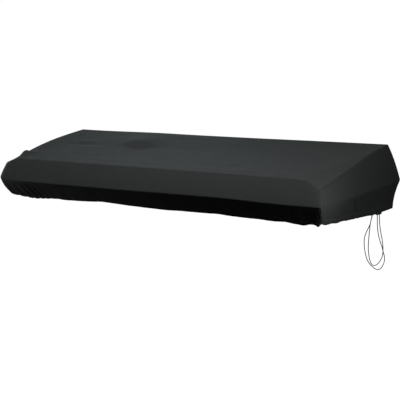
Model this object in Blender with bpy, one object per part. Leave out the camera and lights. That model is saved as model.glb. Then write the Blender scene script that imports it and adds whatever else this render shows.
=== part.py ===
"""Fitted stretch-knit dust cover for an electronic keyboard, as it sits with its hem drawn in.

Metres. +X runs to the right end, -Y is the front, +Z is up. The origin lies under the middle of the
top, where the cloth rests on the keyboard. The cover is three panels of cloth: a main panel that
runs from the front hem over the top to the back hem, and an end panel at each end. Two loops of the
drawcord and the cord's lock hang under the hem at the right end.

Three lines around the cover carry its shape: the top edge (front crease, end seams and ridge), the
widest line below it, and the hem. Walls run from line to line, and the top spans the first of them.
"""
import bpy
import numpy as np

# Cloth
CLOTH = 0.002            # one layer of the knit
HEM_CLOTH = 0.0045       # the hem channel: two layers with the cord between
HEM_START = 1.8          # where the channel starts, in levels: 1 is the widest line, 2 the hem
HEM_STEP = 0.04          # how much of a level the cloth takes to thicken there
SEAM_RECESS = 0.0003     # how far each panel's edge stands back from the seam

# Plan of the lines, and the radii of their corners
TOP_FRONT, TOP_BACK = -0.205, 0.148
WIDE_FRONT, WIDE_BACK = -0.211, 0.2145
WIDE_END = {"right": 0.5235, "left": 0.5255}
CORNER_RADII = {
    "top": {"right": (0.009, 0.0), "left": (0.050, 0.0)},        # front, back
    "wide": {"right": (0.011, 0.010), "left": (0.030, 0.014)},
    "hem": {"right": (0.013, 0.010), "left": (0.016, 0.012)},
}

# Height of the ridge, of the front crease and of the widest line along the front
RIDGE = {
    "x": (-0.512, -0.430, -0.270, -0.100, 0.100, 0.300, 0.516),
    "z": (0.0250, 0.0244, 0.0253, 0.0247, 0.0243, 0.0250, 0.0257),
}
CREASE = {
    "x": (-0.52, -0.44, -0.396, -0.325, -0.248, -0.109, 0.050, 0.177, 0.303, 0.406, 0.478, 0.52),
    "z": (-0.0365, -0.0362, -0.0345, -0.0348, -0.0338, -0.0312, -0.0303, -0.0311, -0.0334, -0.0344,
          -0.0332, -0.0330),
}
FRONT_WIDEST = {
    "x": (-0.512, -0.48, -0.376, -0.267, -0.089, 0.1185, 0.250, 0.410, 0.5235),
    "z": (-0.0905, -0.0945, -0.0962, -0.0961, -0.0958, -0.0943, -0.0937, -0.0966, -0.0960),
}
BACK_WIDEST_HEIGHT = -0.069

# The hem along the front and the back: how far it is drawn in, and its scalloped height
FRONT_HEM = {
    "x": (-0.52, -0.495, -0.44, -0.30, 0.00, 0.30, 0.42, 0.48, 0.507, 0.52),
    "y": (-0.178, -0.177, -0.170, -0.163, -0.160, -0.165, -0.172, -0.181, -0.188, -0.189),
}
FRONT_SCALLOPS = {
    "x": (-0.510, -0.488, -0.453, -0.417, -0.380, -0.344, -0.309, -0.237, -0.166, -0.132, -0.064,
          0.003, 0.036, 0.101, 0.164, 0.195, 0.256, 0.316, 0.375, 0.404, 0.434, 0.458, 0.475,
          0.488, 0.496, 0.507, 0.515),
    "z": (-0.1375, -0.1402, -0.1441, -0.1470, -0.1456, -0.1438, -0.1447, -0.1428, -0.1402, -0.1411,
          -0.1435, -0.1442, -0.1451, -0.1428, -0.1424, -0.1417, -0.1443, -0.1447, -0.1447, -0.1434,
          -0.1457, -0.1457, -0.1418, -0.1430, -0.1474, -0.1412, -0.1390),
}
BACK_HEM = {
    "x": (-0.51, -0.40, 0.00, 0.40, 0.51),
    "y": (0.2055, 0.188, 0.180, 0.188, 0.2055),
}
BACK_SCALLOPS = {
    "x": (-0.51, -0.42, -0.31, -0.22, -0.12, -0.02, 0.09, 0.20, 0.29, 0.40, 0.51),
    "z": (-0.1435, -0.1460, -0.1432, -0.1468, -0.1440, -0.1472, -0.1436, -0.1465, -0.1440, -0.1468,
          -0.1435),
}

# The ends, from front to back: the seam, how far it lies below the flat of the top and where the
# top starts to fall towards it
END_SEAM = {
    "right": {
        "y": (-0.205, -0.157, -0.120, -0.085, -0.048, -0.007, 0.037, 0.080, 0.148),
        "x": (0.5190, 0.5180, 0.5170, 0.5165, 0.5160, 0.5155, 0.5150, 0.5150, 0.5160),
        "drop": (0.0215, 0.0186, 0.0160, 0.0128, 0.0098, 0.0064, 0.0026, 0.0008, 0.0004),
        "fall_from": (0.478, 0.482, 0.486, 0.490, 0.494, 0.498, 0.503, 0.508, 0.514),
    },
    "left": {
        "y": (-0.205, -0.157, -0.120, -0.085, -0.048, -0.007, 0.037, 0.080, 0.148),
        "x": (0.5150, 0.5150, 0.5150, 0.5150, 0.5150, 0.5150, 0.5145, 0.5140, 0.5120),
        "drop": (0.0225, 0.0190, 0.0148, 0.0112, 0.0080, 0.0048, 0.0016, 0.0003, 0.0003),
        "fall_from": (0.440, 0.456, 0.470, 0.482, 0.492, 0.500, 0.504, 0.507, 0.510),
    },
}
END_WIDEST = {
    "y": (-0.211, -0.130, -0.067, -0.013, 0.041, 0.098, 0.157, 0.2145),
    "right": (-0.0960, -0.0935, -0.0888, -0.0862, -0.0822, -0.0795, -0.0755, -0.0690),
    "left": (-0.0905, -0.0900, -0.0880, -0.0862, -0.0822, -0.0795, -0.0755, -0.0690),
}
END_HEM = {
    "y": (-0.189, -0.150, -0.100, -0.050, 0.000, 0.050, 0.090, 0.105, 0.125, 0.160, 0.2055),
    "right": (0.5140, 0.5090, 0.5045, 0.5020, 0.5000, 0.4990, 0.4995, 0.5010, 0.5045, 0.5055, 0.5085),
    "left": (0.5050, 0.5045, 0.5030, 0.5015, 0.5000, 0.4990, 0.4990, 0.4995, 0.5010, 0.5035, 0.5070),
}
END_SCALLOPS = {
    "right": {
        "y": (-0.189, -0.162, -0.126, -0.091, -0.075, -0.041, -0.008, 0.026, 0.059, 0.091, 0.1043,
              0.111, 0.117, 0.137, 0.143, 0.155, 0.180, 0.2055),
        "z": (-0.1390, -0.1426, -0.1434, -0.1461, -0.1454, -0.1476, -0.1478, -0.1486, -0.1490,
              -0.1493, -0.1496, -0.1482, -0.1430, -0.1430, -0.1474, -0.1466, -0.1457, -0.1425),
    },
    "left": {
        "y": (-0.178, -0.130, -0.080, -0.025, 0.030, 0.090, 0.150, 0.2055),
        "z": (-0.1375, -0.1440, -0.1425, -0.1462, -0.1435, -0.1465, -0.1440, -0.1425),
    },
}

# How far a wall stands out of the straight run above the widest line (crown), and in below it
# (hollow, less than 0 where it stands out there too)
CROWN = {"front": 0.0010, "back": 0.0045, "right": 0.0012, "left": 0.0012}
FRONT_HOLLOW = {
    "x": (-0.490, -0.430, -0.360),
    "depth": (-0.0050, -0.0018, 0.0015),
}
BACK_HOLLOW = 0.0050
END_HOLLOW = {
    "y": (-0.180, -0.120, 0.030, 0.180),
    "right": (0.0, 0.0, 0.0020, 0.0030),
    "left": (-0.0045, -0.0018, 0.0020, 0.0030),
}

# Folds of the top, as soft ridges and dips
TOP_FOLDS = [
    # x, y, half length, half width, turn in degrees, height
    (-0.464, -0.155, 0.030, 0.016, 62.0, 0.0105),    # the peak that stands at the left corner
    (-0.215, 0.066, 0.040, 0.014, 6.0, 0.0036),      # the bump near the back
    (-0.222, 0.038, 0.055, 0.015, 4.0, -0.0018),     # the dip in front of it
    (-0.400, 0.006, 0.090, 0.012, 3.0, 0.0014),
    (-0.300, 0.018, 0.080, 0.012, -4.0, 0.0012),
    (-0.150, 0.090, 0.070, 0.012, -8.0, 0.0014),
    (0.130, -0.155, 0.260, 0.010, -1.0, 0.0009),
    (0.200, -0.120, 0.220, 0.012, -2.0, -0.0009),
]

# Gathers of the skirt, as soft troughs that deepen over part of the way down to the hem
GATHER_RUN = 0.8
FRONT_GATHERS = [
    # x at the widest line, x at the hem, half width, depth
    (-0.478, -0.450, 0.0055, 0.0030),
    (-0.455, -0.424, 0.0060, 0.0034),
    (-0.432, -0.398, 0.0065, 0.0036),
    (-0.398, -0.374, 0.0060, 0.0028),
    (-0.352, -0.338, 0.0080, 0.0022),
    (-0.290, -0.284, 0.0120, 0.0018),
    (-0.180, -0.182, 0.0160, 0.0020),
    (-0.060, -0.058, 0.0180, 0.0014),
    (0.070, 0.074, 0.0200, 0.0014),
    (0.205, 0.201, 0.0180, 0.0020),
    (0.330, 0.328, 0.0150, 0.0016),
    (0.400, 0.400, 0.0090, 0.0020),
    (0.436, 0.434, 0.0080, 0.0020),
    (0.468, 0.465, 0.0070, 0.0026),
]
BACK_GATHERS = [
    (-0.425, -0.415, 0.016, 0.0020),
    (-0.310, -0.305, 0.018, 0.0022),
    (-0.180, -0.178, 0.020, 0.0018),
    (-0.040, -0.042, 0.018, 0.0022),
    (0.110, 0.108, 0.020, 0.0018),
    (0.250, 0.244, 0.017, 0.0022),
    (0.400, 0.390, 0.016, 0.0020),
]
RIGHT_GATHERS = [
    # y at the widest line, y at the hem, half width, depth
    (-0.128, -0.118, 0.0065, 0.0012),
    (-0.095, -0.085, 0.0060, 0.0016),
    (-0.068, -0.056, 0.0055, 0.0020),
    (-0.046, -0.034, 0.0055, 0.0028),
    (-0.024, -0.013, 0.0055, 0.0026),
    (-0.002, 0.008, 0.0055, 0.0022),
    (0.020, 0.029, 0.0060, 0.0016),
    (0.052, 0.058, 0.0070, 0.0012),
    (0.082, 0.086, 0.0060, 0.0014),
    (0.158, 0.165, 0.0080, 0.0012),
]
LEFT_GATHERS = [
    (-0.130, -0.120, 0.0090, 0.0020),
    (-0.085, -0.077, 0.0085, 0.0022),
    (-0.030, -0.024, 0.0095, 0.0018),
    (0.025, 0.029, 0.0090, 0.0020),
    (0.080, 0.083, 0.0090, 0.0016),
    (0.135, 0.140, 0.0085, 0.0018),
]

# Rows and columns of the surfaces
LONG_COLUMNS = 62
END_CROWDING = 0.62      # how much closer the long panel's columns stand near its ends
WALL_LEVELS = np.array([0.0, 0.34, 0.67, 1.0, 1.2, 1.4, 1.6, HEM_START - HEM_STEP / 2,
                        HEM_START + HEM_STEP / 2, 2.0])
TOP_DEPTHS = np.array([0.0, 0.02, 0.045, 0.075, 0.11, 0.15, 0.19, 0.235, 0.28, 0.325, 0.375, 0.43,
                       0.49, 0.55, 0.60, 0.65, 0.70, 0.74, 0.78, 0.82, 0.87, 0.93, 1.0])
RIGHT_SPLITS, LEFT_SPLITS = 3, 2     # columns of an end panel to each row of the top

# Drawcord: where the loops leave the hem, the plane they hang in and each loop's route in it
CORD_DIAMETER = 0.0022
CORD_EXIT = np.array([0.4982, 0.1043, -0.1502])
LOOP_TURN = 75.0         # of the plane, in degrees from +X as seen from above
LOOP_OFFSET = 0.0016     # each loop's distance from the plane, to either side
OUTER_LOOP = {
    # metres along the plane from the exit, and down from it
    "along": (0.0014, -0.0022, -0.0064, -0.0106, -0.0178, -0.0245, -0.0272, -0.0256, -0.0209, -0.0133,
              -0.0028, 0.0077, 0.0178, 0.0268, 0.0374, 0.0466, 0.0516, 0.0510, 0.0464, 0.0404,
              0.0330, 0.0264, 0.0226, 0.0210, 0.0206),
    "down": (-0.0007, 0.0125, 0.0246, 0.0310, 0.0405, 0.0515, 0.0659, 0.0841, 0.1011, 0.1170,
             0.1290, 0.1368, 0.1430, 0.1457, 0.1442, 0.1360, 0.1247, 0.1143, 0.1022, 0.0864,
             0.0723, 0.0549, 0.0382, 0.0181, 0.0035),
}
INNER_LOOP = {
    "along": (-0.0014, -0.0056, -0.0095, -0.0110, -0.0128, -0.0144, -0.0147, -0.0124, -0.0086,
              -0.0034, 0.0028, 0.0100, 0.0211, 0.0308, 0.0379, 0.0409, 0.0404, 0.0376, 0.0320,
              0.0270, 0.0246),
    "down": (0.0004, 0.0121, 0.0246, 0.0376, 0.0505, 0.0686, 0.0866, 0.1016, 0.1153,
             0.1250, 0.1305, 0.1325, 0.1300, 0.1233, 0.1142, 0.1043, 0.0826, 0.0692, 0.0502,
             0.0281, 0.0035),
}
CORD_STEP = 2.6          # between points of a cord, in diameters

# Cord lock: a small barrel that lies under the hem, along the plane of the loops
LOCK_ALONG = 0.0226      # from the exit to its middle
LOCK_LENGTH, LOCK_RADIUS = 0.0190, 0.0050
LOCK_TOP = -0.1431
LOCK_EDGE = 0.0016       # rounding of its rims
LOCK_SIDES = 16

KNIT_GREY, KNIT_ROUGHNESS = (0.030, 0.033, 0.034), 0.72
CORD_BLACK, CORD_ROUGHNESS = (0.012, 0.012, 0.013), 0.60
LOCK_BLACK, LOCK_ROUGHNESS = (0.010, 0.010, 0.011), 0.42
SHARP_ANGLE = 40.0       # edges that turn more than this many degrees stay crisp


def smooth(table, column, at):
    """Cubic curve through a table's rows, level beyond its first and last row."""
    places = np.array(table[next(iter(table))])
    values = np.array(table[column])
    slopes = np.gradient(values, places)
    at = np.clip(at, places[0], places[-1])
    row = np.clip(np.searchsorted(places, at, side="right") - 1, 0, len(places) - 2)
    width = places[row + 1] - places[row]
    share = (at - places[row]) / width
    rest = 1 - share
    height = rest ** 2 * (1 + 2 * share) * values[row] + share ** 2 * (1 + 2 * rest) * values[row + 1]
    lean = share * rest ** 2 * slopes[row] - share ** 2 * rest * slopes[row + 1]
    return height + lean * width


def blend(low, high, share):
    """Straight blend from one value to another."""
    return low + (high - low) * share


def ease(share):
    """From 0 to 1, level at both."""
    share = np.clip(share, 0, 1)
    return share * share * (3 - 2 * share)


def unit(vectors):
    """Vectors scaled to length 1."""
    return vectors / np.maximum(np.linalg.norm(vectors, axis=-1, keepdims=True), 1e-12)


def points(x, y, z):
    """One array of points from arrays of coordinates, broadcast together."""
    return np.stack(np.broadcast_arrays(x, y, z), axis=-1).astype(float)


def reach(radius):
    """From a square corner back to the middle of its rounding, along either side."""
    return radius * (1 - np.sqrt(0.5))


def turned_in(beyond, radius):
    """How far a round corner has left its side, at a distance beyond the point where it starts."""
    beyond = np.clip(beyond, 0, radius * np.sqrt(0.5))
    return radius - np.sqrt(radius ** 2 - beyond ** 2)


def fall(x, start, end):
    """0 where the top is flat, then soon a straight fall to 1 at the seam."""
    softness = 0.18      # share of the run over which the slope sets in
    run = np.clip((x - start) / (end - start), 0, 1)
    return (np.hypot(run, softness) - softness) / (np.hypot(1, softness) - softness)


def top_folds(x, y):
    """Sum of the top's folds, each a rounded mound that is longer along its own turned axis."""
    height = 0.0
    for fold_x, fold_y, half_length, half_width, turn, rise in TOP_FOLDS:
        cos, sin = np.cos(np.radians(turn)), np.sin(np.radians(turn))
        along = ((x - fold_x) * cos + (y - fold_y) * sin) / half_length
        across = ((y - fold_y) * cos - (x - fold_x) * sin) / half_width
        height = height + rise * np.exp(-along ** 2 - across ** 2)
    return height


def top_height(x, y):
    """Height of the top: a slope from the crease to the ridge, less the falls at the ends."""
    depth = (y - TOP_FRONT) / (TOP_BACK - TOP_FRONT)
    height = blend(smooth(CREASE, "z", x), smooth(RIDGE, "z", x), depth)
    for end, sign in (("right", 1), ("left", -1)):
        seam = END_SEAM[end]
        start, edge = smooth(seam, "fall_from", y), smooth(seam, "x", y)
        height = height - smooth(seam, "drop", y) * fall(sign * x, start, edge)
    return height + top_folds(x, y)


def seam_reach(end, y):
    """Distance of an end's top seam from the middle, with its front corner rounded."""
    radius = CORNER_RADII["top"][end][0]
    y = np.maximum(y, TOP_FRONT + reach(radius))
    return smooth(END_SEAM[end], "x", y) - turned_in(TOP_FRONT + radius - y, radius)


def top_surface(share, depth):
    """The top. share runs from the left seam to the right one, depth from the crease to the ridge."""
    right, left = CORNER_RADII["top"]["right"][0], CORNER_RADII["top"]["left"][0]
    right_edge, left_edge = END_SEAM["right"]["x"][0], END_SEAM["left"]["x"][0]
    front_x = blend(reach(left) - left_edge, right_edge - reach(right), share)
    front_y = (TOP_FRONT + turned_in(front_x - right_edge + right, right)
               + turned_in(left - left_edge - front_x, left))
    y = blend(front_y, TOP_BACK, depth)
    x = blend(-seam_reach("left", y), seam_reach("right", y), share)
    return points(x, y, top_height(x, y))


def wall(lines, levels, crown, hollow, side_sign):
    """Wall through the top edge, the widest line and the hem, at levels 0, 1 and 2.

    It is straight from line to line, plus a crown above the widest line and less a hollow below it,
    both square to the run and greatest at its middle.
    """
    top, widest, hem = lines
    sideways = np.cross(unit(np.gradient(widest, axis=0)), (0, 0, 1)) * side_sign
    upper = np.clip(levels, 0, 1)[:, None, None]
    lower = np.clip(levels - 1, 0, 1)[:, None, None]
    surface = blend(blend(top, widest, upper), hem, lower)
    for run, share, height in ((widest - top, upper, crown), (hem - widest, lower, -hollow[:, None])):
        tilt = np.sum(sideways * run, axis=-1) / np.sum(run * run, axis=-1)
        surface = surface + unit(sideways - run * tilt[:, None]) * height * 4 * share * (1 - share)
    return surface


def long_lines(side, share):
    """Top edge, widest line and hem along the front or the back."""
    at, backward = (0, 1) if side == "front" else (1, -1)
    top = top_surface(share, np.full_like(share, at))

    def plan(line, right_end, left_end):
        right, left = CORNER_RADII[line]["right"][at], CORNER_RADII[line]["left"][at]
        x = blend(reach(left) - left_end, right_end - reach(right), share)
        inset = turned_in(x - right_end + right, right) + turned_in(left - left_end - x, left)
        return x, inset * backward

    x, inset = plan("wide", WIDE_END["right"], WIDE_END["left"])
    if side == "front":
        widest = points(x, WIDE_FRONT + inset, smooth(FRONT_WIDEST, "z", x))
    else:
        widest = points(x, WIDE_BACK + inset, BACK_WIDEST_HEIGHT)
    x, inset = plan("hem", END_HEM["right"][-at], END_HEM["left"][-at])
    in_plan, scallops = (FRONT_HEM, FRONT_SCALLOPS) if side == "front" else (BACK_HEM, BACK_SCALLOPS)
    hem = points(x, smooth(in_plan, "y", x) + inset, smooth(scallops, "z", x))
    return top, widest, hem


def end_lines(end, share):
    """Top seam, widest line and hem of an end, from its front corner to its back one."""
    sign = 1 if end == "right" else -1

    def plan(line, front_y, back_y):
        front, back = CORNER_RADII[line][end]
        y = blend(front_y + reach(front), back_y - reach(back), share)
        return y, turned_in(front_y + front - y, front) + turned_in(y - back_y + back, back)

    y, _ = plan("top", TOP_FRONT, TOP_BACK)
    x = sign * seam_reach(end, y)
    top = points(x, y, top_height(x, y))
    y, inset = plan("wide", WIDE_FRONT, WIDE_BACK)
    widest = points(sign * (WIDE_END[end] - inset), y, smooth(END_WIDEST, end, y))
    front_hem = FRONT_HEM["y"][-1 if end == "right" else 0]
    y, inset = plan("hem", front_hem, BACK_HEM["y"][0])
    hem = points(sign * (smooth(END_HEM, end, y) - inset), y, smooth(END_SCALLOPS[end], "z", y))
    return top, widest, hem


def gathered(surface, normals, levels, places, troughs):
    """Skirt pressed in by its gathers: each a rounded furrow that leans and deepens to the hem."""
    down = np.clip(levels - 1, 0, 1)[:, None]
    depth = 0.0
    for at_edge, at_hem, half_width, deepest in troughs:
        middle = blend(at_edge, at_hem, down)
        depth = depth + deepest * np.exp(-((places - middle) / half_width) ** 2)
    return surface - normals * (depth * ease(down / GATHER_RUN))[..., None]


def grid_normals(grid, sign=1):
    """Outward unit normals of a grid, from the steps to each point's neighbours."""
    return sign * unit(np.cross(np.gradient(grid, axis=1), np.gradient(grid, axis=0)))


def main_panel():
    """Grid of the main panel, from the front hem over the top to the back hem, and its levels."""
    even = np.linspace(0, 1, LONG_COLUMNS + 1)
    share = even - END_CROWDING * np.sin(2 * np.pi * even) / (2 * np.pi)
    lines = long_lines("front", share)
    hollow = smooth(FRONT_HOLLOW, "depth", lines[1][:, 0])
    front = wall(lines, WALL_LEVELS, CROWN["front"], hollow, 1)
    front = gathered(front, grid_normals(front, -1), WALL_LEVELS, front[..., 0], FRONT_GATHERS)
    hollow = np.full_like(share, BACK_HOLLOW)
    back = wall(long_lines("back", share), WALL_LEVELS, CROWN["back"], hollow, -1)
    back = gathered(back, grid_normals(back), WALL_LEVELS, back[..., 0], BACK_GATHERS)
    top = top_surface(share[None, :], TOP_DEPTHS[:, None])
    grid = np.concatenate([front[:0:-1], top, back[1:]])
    levels = np.concatenate([WALL_LEVELS[:0:-1], np.zeros(len(TOP_DEPTHS)), WALL_LEVELS[1:]])
    return grid, levels


def end_panel(end, share, troughs):
    """Grid of an end panel, from its top seam down to the hem."""
    sign = 1 if end == "right" else -1
    lines = end_lines(end, share)
    hollow = smooth(END_HOLLOW, end, lines[1][:, 1])
    surface = wall(lines, WALL_LEVELS, CROWN[end], hollow, sign)
    return gathered(surface, grid_normals(surface, -sign), WALL_LEVELS, surface[..., 1], troughs)


def split(places, parts):
    """The places, with each step between them cut into equal parts."""
    return np.interp(np.arange(parts * (len(places) - 1) + 1) / parts, np.arange(len(places)), places)


def sew(panel, other, edge, other_edge, places, other_places):
    """Bring two edges to one line and one direction, each with its own places along it."""
    for kind in ("grid", "normals"):
        line = (panel[kind][edge] + placed(other[kind][other_edge], other_places, places)) / 2
        panel[kind][edge] = line
        other[kind][other_edge] = placed(line, places, other_places)


def placed(line, places, wanted):
    """A line's values at other places along it."""
    return np.stack([np.interp(wanted, places, line[:, axis]) for axis in range(3)], axis=-1)


def inward(edge, inside):
    """Directions from an edge to the next line of its panel, square to the edge."""
    along = unit(np.gradient(edge, axis=0))
    across = inside - edge
    return unit(across - along * np.sum(across * along, axis=-1, keepdims=True))


def recess_seams(grid, top_too):
    """Move a panel's sewn edges a little into the panel."""
    result = grid.copy()
    for edge, inside in ((0, 1), (-1, -2)):
        result[:, edge] += SEAM_RECESS * inward(grid[:, edge], grid[:, inside])
    if top_too:
        result[0] += SEAM_RECESS * inward(grid[0], grid[1])
    return result


def cloth_mesh(name, grid, normals, levels):
    """Closed solid of cloth: the outer grid, the same grid a thickness inside it, and a rim."""
    hem = ease((levels - HEM_START) / HEM_STEP + 0.5)
    thickness = blend(CLOTH, HEM_CLOTH, hem)[:, None, None]
    inner = grid - unit(normals) * thickness
    rows, columns = grid.shape[:2]
    index = np.arange(rows * columns).reshape(rows, columns)
    outside = np.stack([index[:-1, :-1], index[:-1, 1:], index[1:, 1:], index[1:, :-1]], axis=-1)
    inside = outside[..., ::-1] + rows * columns
    border = np.concatenate([index[0, :-1], index[:-1, -1], index[-1, :0:-1], index[:0:-1, 0]])
    following = np.roll(border, -1)
    rim = np.stack([following, border, border + rows * columns, following + rows * columns], axis=-1)
    faces = np.concatenate([outside.reshape(-1, 4), inside.reshape(-1, 4), rim])
    return solid(name, np.concatenate([grid.reshape(-1, 3), inner.reshape(-1, 3)]), faces)


def solid(name, vertices, faces):
    """Object with a mesh of the given points and faces, in the scene."""
    mesh = bpy.data.meshes.new(name)
    mesh.from_pydata(vertices.tolist(), [], [tuple(face) for face in faces])
    mesh.shade_smooth()
    mesh.set_sharp_from_angle(angle=np.radians(SHARP_ANGLE))
    built = bpy.data.objects.new(name, mesh)
    bpy.context.collection.objects.link(built)
    return built


def finish(built, name, colour, roughness):
    """Give an object its own material."""
    material = bpy.data.materials.new(name)
    material.use_nodes = True
    shader = material.node_tree.nodes["Principled BSDF"]
    shader.inputs["Base Color"].default_value = (*colour, 1)
    shader.inputs["Roughness"].default_value = roughness
    shader.inputs["Metallic"].default_value = 0
    built.data.materials.append(material)


def build_cloth():
    """The three panels, sewn edge to edge."""
    main, main_levels = main_panel()
    places = {"end_panel_right": split(TOP_DEPTHS, RIGHT_SPLITS),
              "end_panel_left": split(TOP_DEPTHS, LEFT_SPLITS)}
    right = end_panel("right", places["end_panel_right"], RIGHT_GATHERS)
    left = end_panel("left", places["end_panel_left"], LEFT_GATHERS)
    panels = {
        "main_panel": {"grid": main, "normals": grid_normals(main), "levels": main_levels},
        "end_panel_right": {"grid": right, "normals": grid_normals(right, -1), "levels": WALL_LEVELS},
        "end_panel_left": {"grid": left, "normals": grid_normals(left), "levels": WALL_LEVELS},
    }
    wall_rows = len(WALL_LEVELS)
    for name, column in (("end_panel_right", -1), ("end_panel_left", 0)):
        pair = panels["main_panel"], panels[name]
        sew(*pair, np.s_[wall_rows - 1::-1, column], np.s_[:, 0], WALL_LEVELS, WALL_LEVELS)
        sew(*pair, np.s_[-wall_rows:, column], np.s_[:, -1], WALL_LEVELS, WALL_LEVELS)
        sew(*pair, np.s_[wall_rows - 1:1 - wall_rows, column], np.s_[0, :], TOP_DEPTHS, places[name])
    for name, panel in panels.items():
        grid = recess_seams(panel["grid"], top_too=name != "main_panel")
        order = np.s_[:, ::-1] if name == "end_panel_right" else np.s_[:, :]
        cloth = cloth_mesh(name, grid[order], panel["normals"][order], panel["levels"])
        finish(cloth, name + "_knit", KNIT_GREY, KNIT_ROUGHNESS)


def in_loop_plane(along, down, offset):
    """Points of a loop, from distances along its plane and down from the exit."""
    turn = np.radians(LOOP_TURN)
    x = CORD_EXIT[0] + along * np.cos(turn) + offset * np.sin(turn)
    y = CORD_EXIT[1] + along * np.sin(turn) - offset * np.cos(turn)
    return points(x, y, CORD_EXIT[2] - down)


def build_cord(name, loop, offset):
    """Round cord on a smooth curve through a loop's route."""
    route = in_loop_plane(np.array(loop["along"]), np.array(loop["down"]), offset)
    run = np.concatenate([[0], np.cumsum(np.linalg.norm(np.diff(route, axis=0), axis=1))])
    steps = np.linspace(0, run[-1], int(run[-1] / (CORD_STEP * CORD_DIAMETER)) + 1)
    table = {"run": run, "x": route[:, 0], "y": route[:, 1], "z": route[:, 2]}
    path = points(*(smooth(table, axis, steps) for axis in "xyz"))
    curve = bpy.data.curves.new(name, "CURVE")
    curve.dimensions = "3D"
    curve.bevel_depth = CORD_DIAMETER / 2
    curve.bevel_resolution = 2
    curve.resolution_u = 1
    curve.render_resolution_u = 0
    curve.use_fill_caps = True
    spline = curve.splines.new("POLY")
    spline.points.add(len(path) - 1)
    spline.points.foreach_set("co", np.column_stack([path, np.ones(len(path))]).ravel())
    cord = bpy.data.objects.new(name, curve)
    bpy.context.collection.objects.link(cord)
    finish(cord, name + "_black", CORD_BLACK, CORD_ROUGHNESS)


def build_lock():
    """Barrel turned about its own long axis, its rims rounded, lying under the hem."""
    bend = np.radians((0, 30, 60, 90))
    rim_along = LOCK_LENGTH / 2 - LOCK_EDGE * (1 - np.cos(bend))
    rim_radius = LOCK_RADIUS - LOCK_EDGE * (1 - np.sin(bend))
    along = np.concatenate([-rim_along, rim_along[::-1]])[:, None]
    radius = np.concatenate([rim_radius, rim_radius[::-1]])[:, None]
    around = np.linspace(0, 2 * np.pi, LOCK_SIDES, endpoint=False)[None, :]
    down = CORD_EXIT[2] - LOCK_TOP + LOCK_RADIUS + radius * np.sin(around)
    vertices = in_loop_plane(LOCK_ALONG + along, down, radius * np.cos(around)).reshape(-1, 3)
    index = np.arange(len(vertices)).reshape(len(along), LOCK_SIDES)
    beside = np.roll(index, -1, axis=1)
    sides = np.stack([index[:-1], beside[:-1], beside[1:], index[1:]], axis=-1).reshape(-1, 4)
    faces = sides.tolist() + [index[0, ::-1].tolist(), index[-1].tolist()]
    finish(solid("cord_lock", vertices, faces), "cord_lock_black", LOCK_BLACK, LOCK_ROUGHNESS)


for leftover in list(bpy.data.objects):
    bpy.data.objects.remove(leftover)
build_cloth()
build_cord("cord_loop_outer", OUTER_LOOP, -LOOP_OFFSET)
build_cord("cord_loop_inner", INNER_LOOP, LOOP_OFFSET)
build_lock()
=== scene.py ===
"""Looks of a fitted stretch-knit dust cover for a keyboard: drawcord, lock and three panels."""

import bpy
import numpy as np
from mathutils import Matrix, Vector


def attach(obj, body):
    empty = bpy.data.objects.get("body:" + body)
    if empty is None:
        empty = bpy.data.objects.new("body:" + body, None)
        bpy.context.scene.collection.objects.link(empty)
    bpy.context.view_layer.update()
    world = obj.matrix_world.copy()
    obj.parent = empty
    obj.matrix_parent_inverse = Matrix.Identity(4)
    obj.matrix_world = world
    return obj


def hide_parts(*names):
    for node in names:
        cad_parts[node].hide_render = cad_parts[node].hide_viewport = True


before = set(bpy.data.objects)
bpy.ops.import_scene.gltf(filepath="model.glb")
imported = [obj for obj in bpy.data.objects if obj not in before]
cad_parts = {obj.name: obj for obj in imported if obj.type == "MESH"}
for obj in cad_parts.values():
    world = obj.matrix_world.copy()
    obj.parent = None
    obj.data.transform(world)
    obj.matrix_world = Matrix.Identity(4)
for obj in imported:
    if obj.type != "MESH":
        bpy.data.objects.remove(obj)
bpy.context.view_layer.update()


# Camera: a long lens that looks down a little at the front right corner. It stands level, so the
# cover's own slope is seen as it is.
CAMERA_PLACE = (1.7857, -2.4645, 0.2562)
CAMERA_DOWN, CAMERA_TURN = 7.4026, 35.4      # degrees
CAMERA_LENS, CAMERA_SENSOR = 101.48, 36.0    # millimetres

camera_data = bpy.data.cameras.new("camera")
camera_data.sensor_width = CAMERA_SENSOR
camera_data.lens = CAMERA_LENS
camera = bpy.data.objects.new("camera", camera_data)
camera.location = CAMERA_PLACE
camera.rotation_euler = np.radians((90 - CAMERA_DOWN, 0, CAMERA_TURN))
bpy.context.scene.collection.objects.link(camera)
bpy.context.scene.camera = camera


# Outer cord loop: the longer hanging loop of the drawcord, a thin round braid of black polyester.
# It leaves the hem channel at the right end, hangs under its own weight and goes up into the lock.
CORD_DIAMETER = 0.0022
CORD_EXIT = np.array([0.4982, 0.1043, -0.1502])
LOOP_TURN = 75.0         # of the plane that the loops hang in, in degrees from +X as seen from above
LOOP_OFFSET = 0.0016     # each loop's distance from that plane, to either side
OUTER_LOOP = {
    # metres along the plane from the exit, and down from it
    "along": (0.0014, -0.0022, -0.0064, -0.0106, -0.0178, -0.0245, -0.0272, -0.0256, -0.0209, -0.0133,
              -0.0028, 0.0077, 0.0178, 0.0268, 0.0374, 0.0466, 0.0516, 0.0510, 0.0464, 0.0404,
              0.0330, 0.0264, 0.0226, 0.0210, 0.0206),
    "down": (-0.0007, 0.0125, 0.0246, 0.0310, 0.0405, 0.0515, 0.0659, 0.0841, 0.1011, 0.1170,
             0.1290, 0.1368, 0.1430, 0.1457, 0.1442, 0.1360, 0.1247, 0.1143, 0.1022, 0.0864,
             0.0723, 0.0549, 0.0382, 0.0181, 0.0035),
}
CORD_RING = 0.0011       # between rings of the tube
CORD_SIDES = 16
INTO_LOCK = 2            # more rings inside the lock, past the route's end
BRAID_STRANDS = 8        # each way around
BRAID_PITCH = 0.0080     # length in which a strand goes once around
BRAID_RELIEF = 0.00007   # depth between the strands
CORD_BLACK = (0.010, 0.0105, 0.0105)


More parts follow.
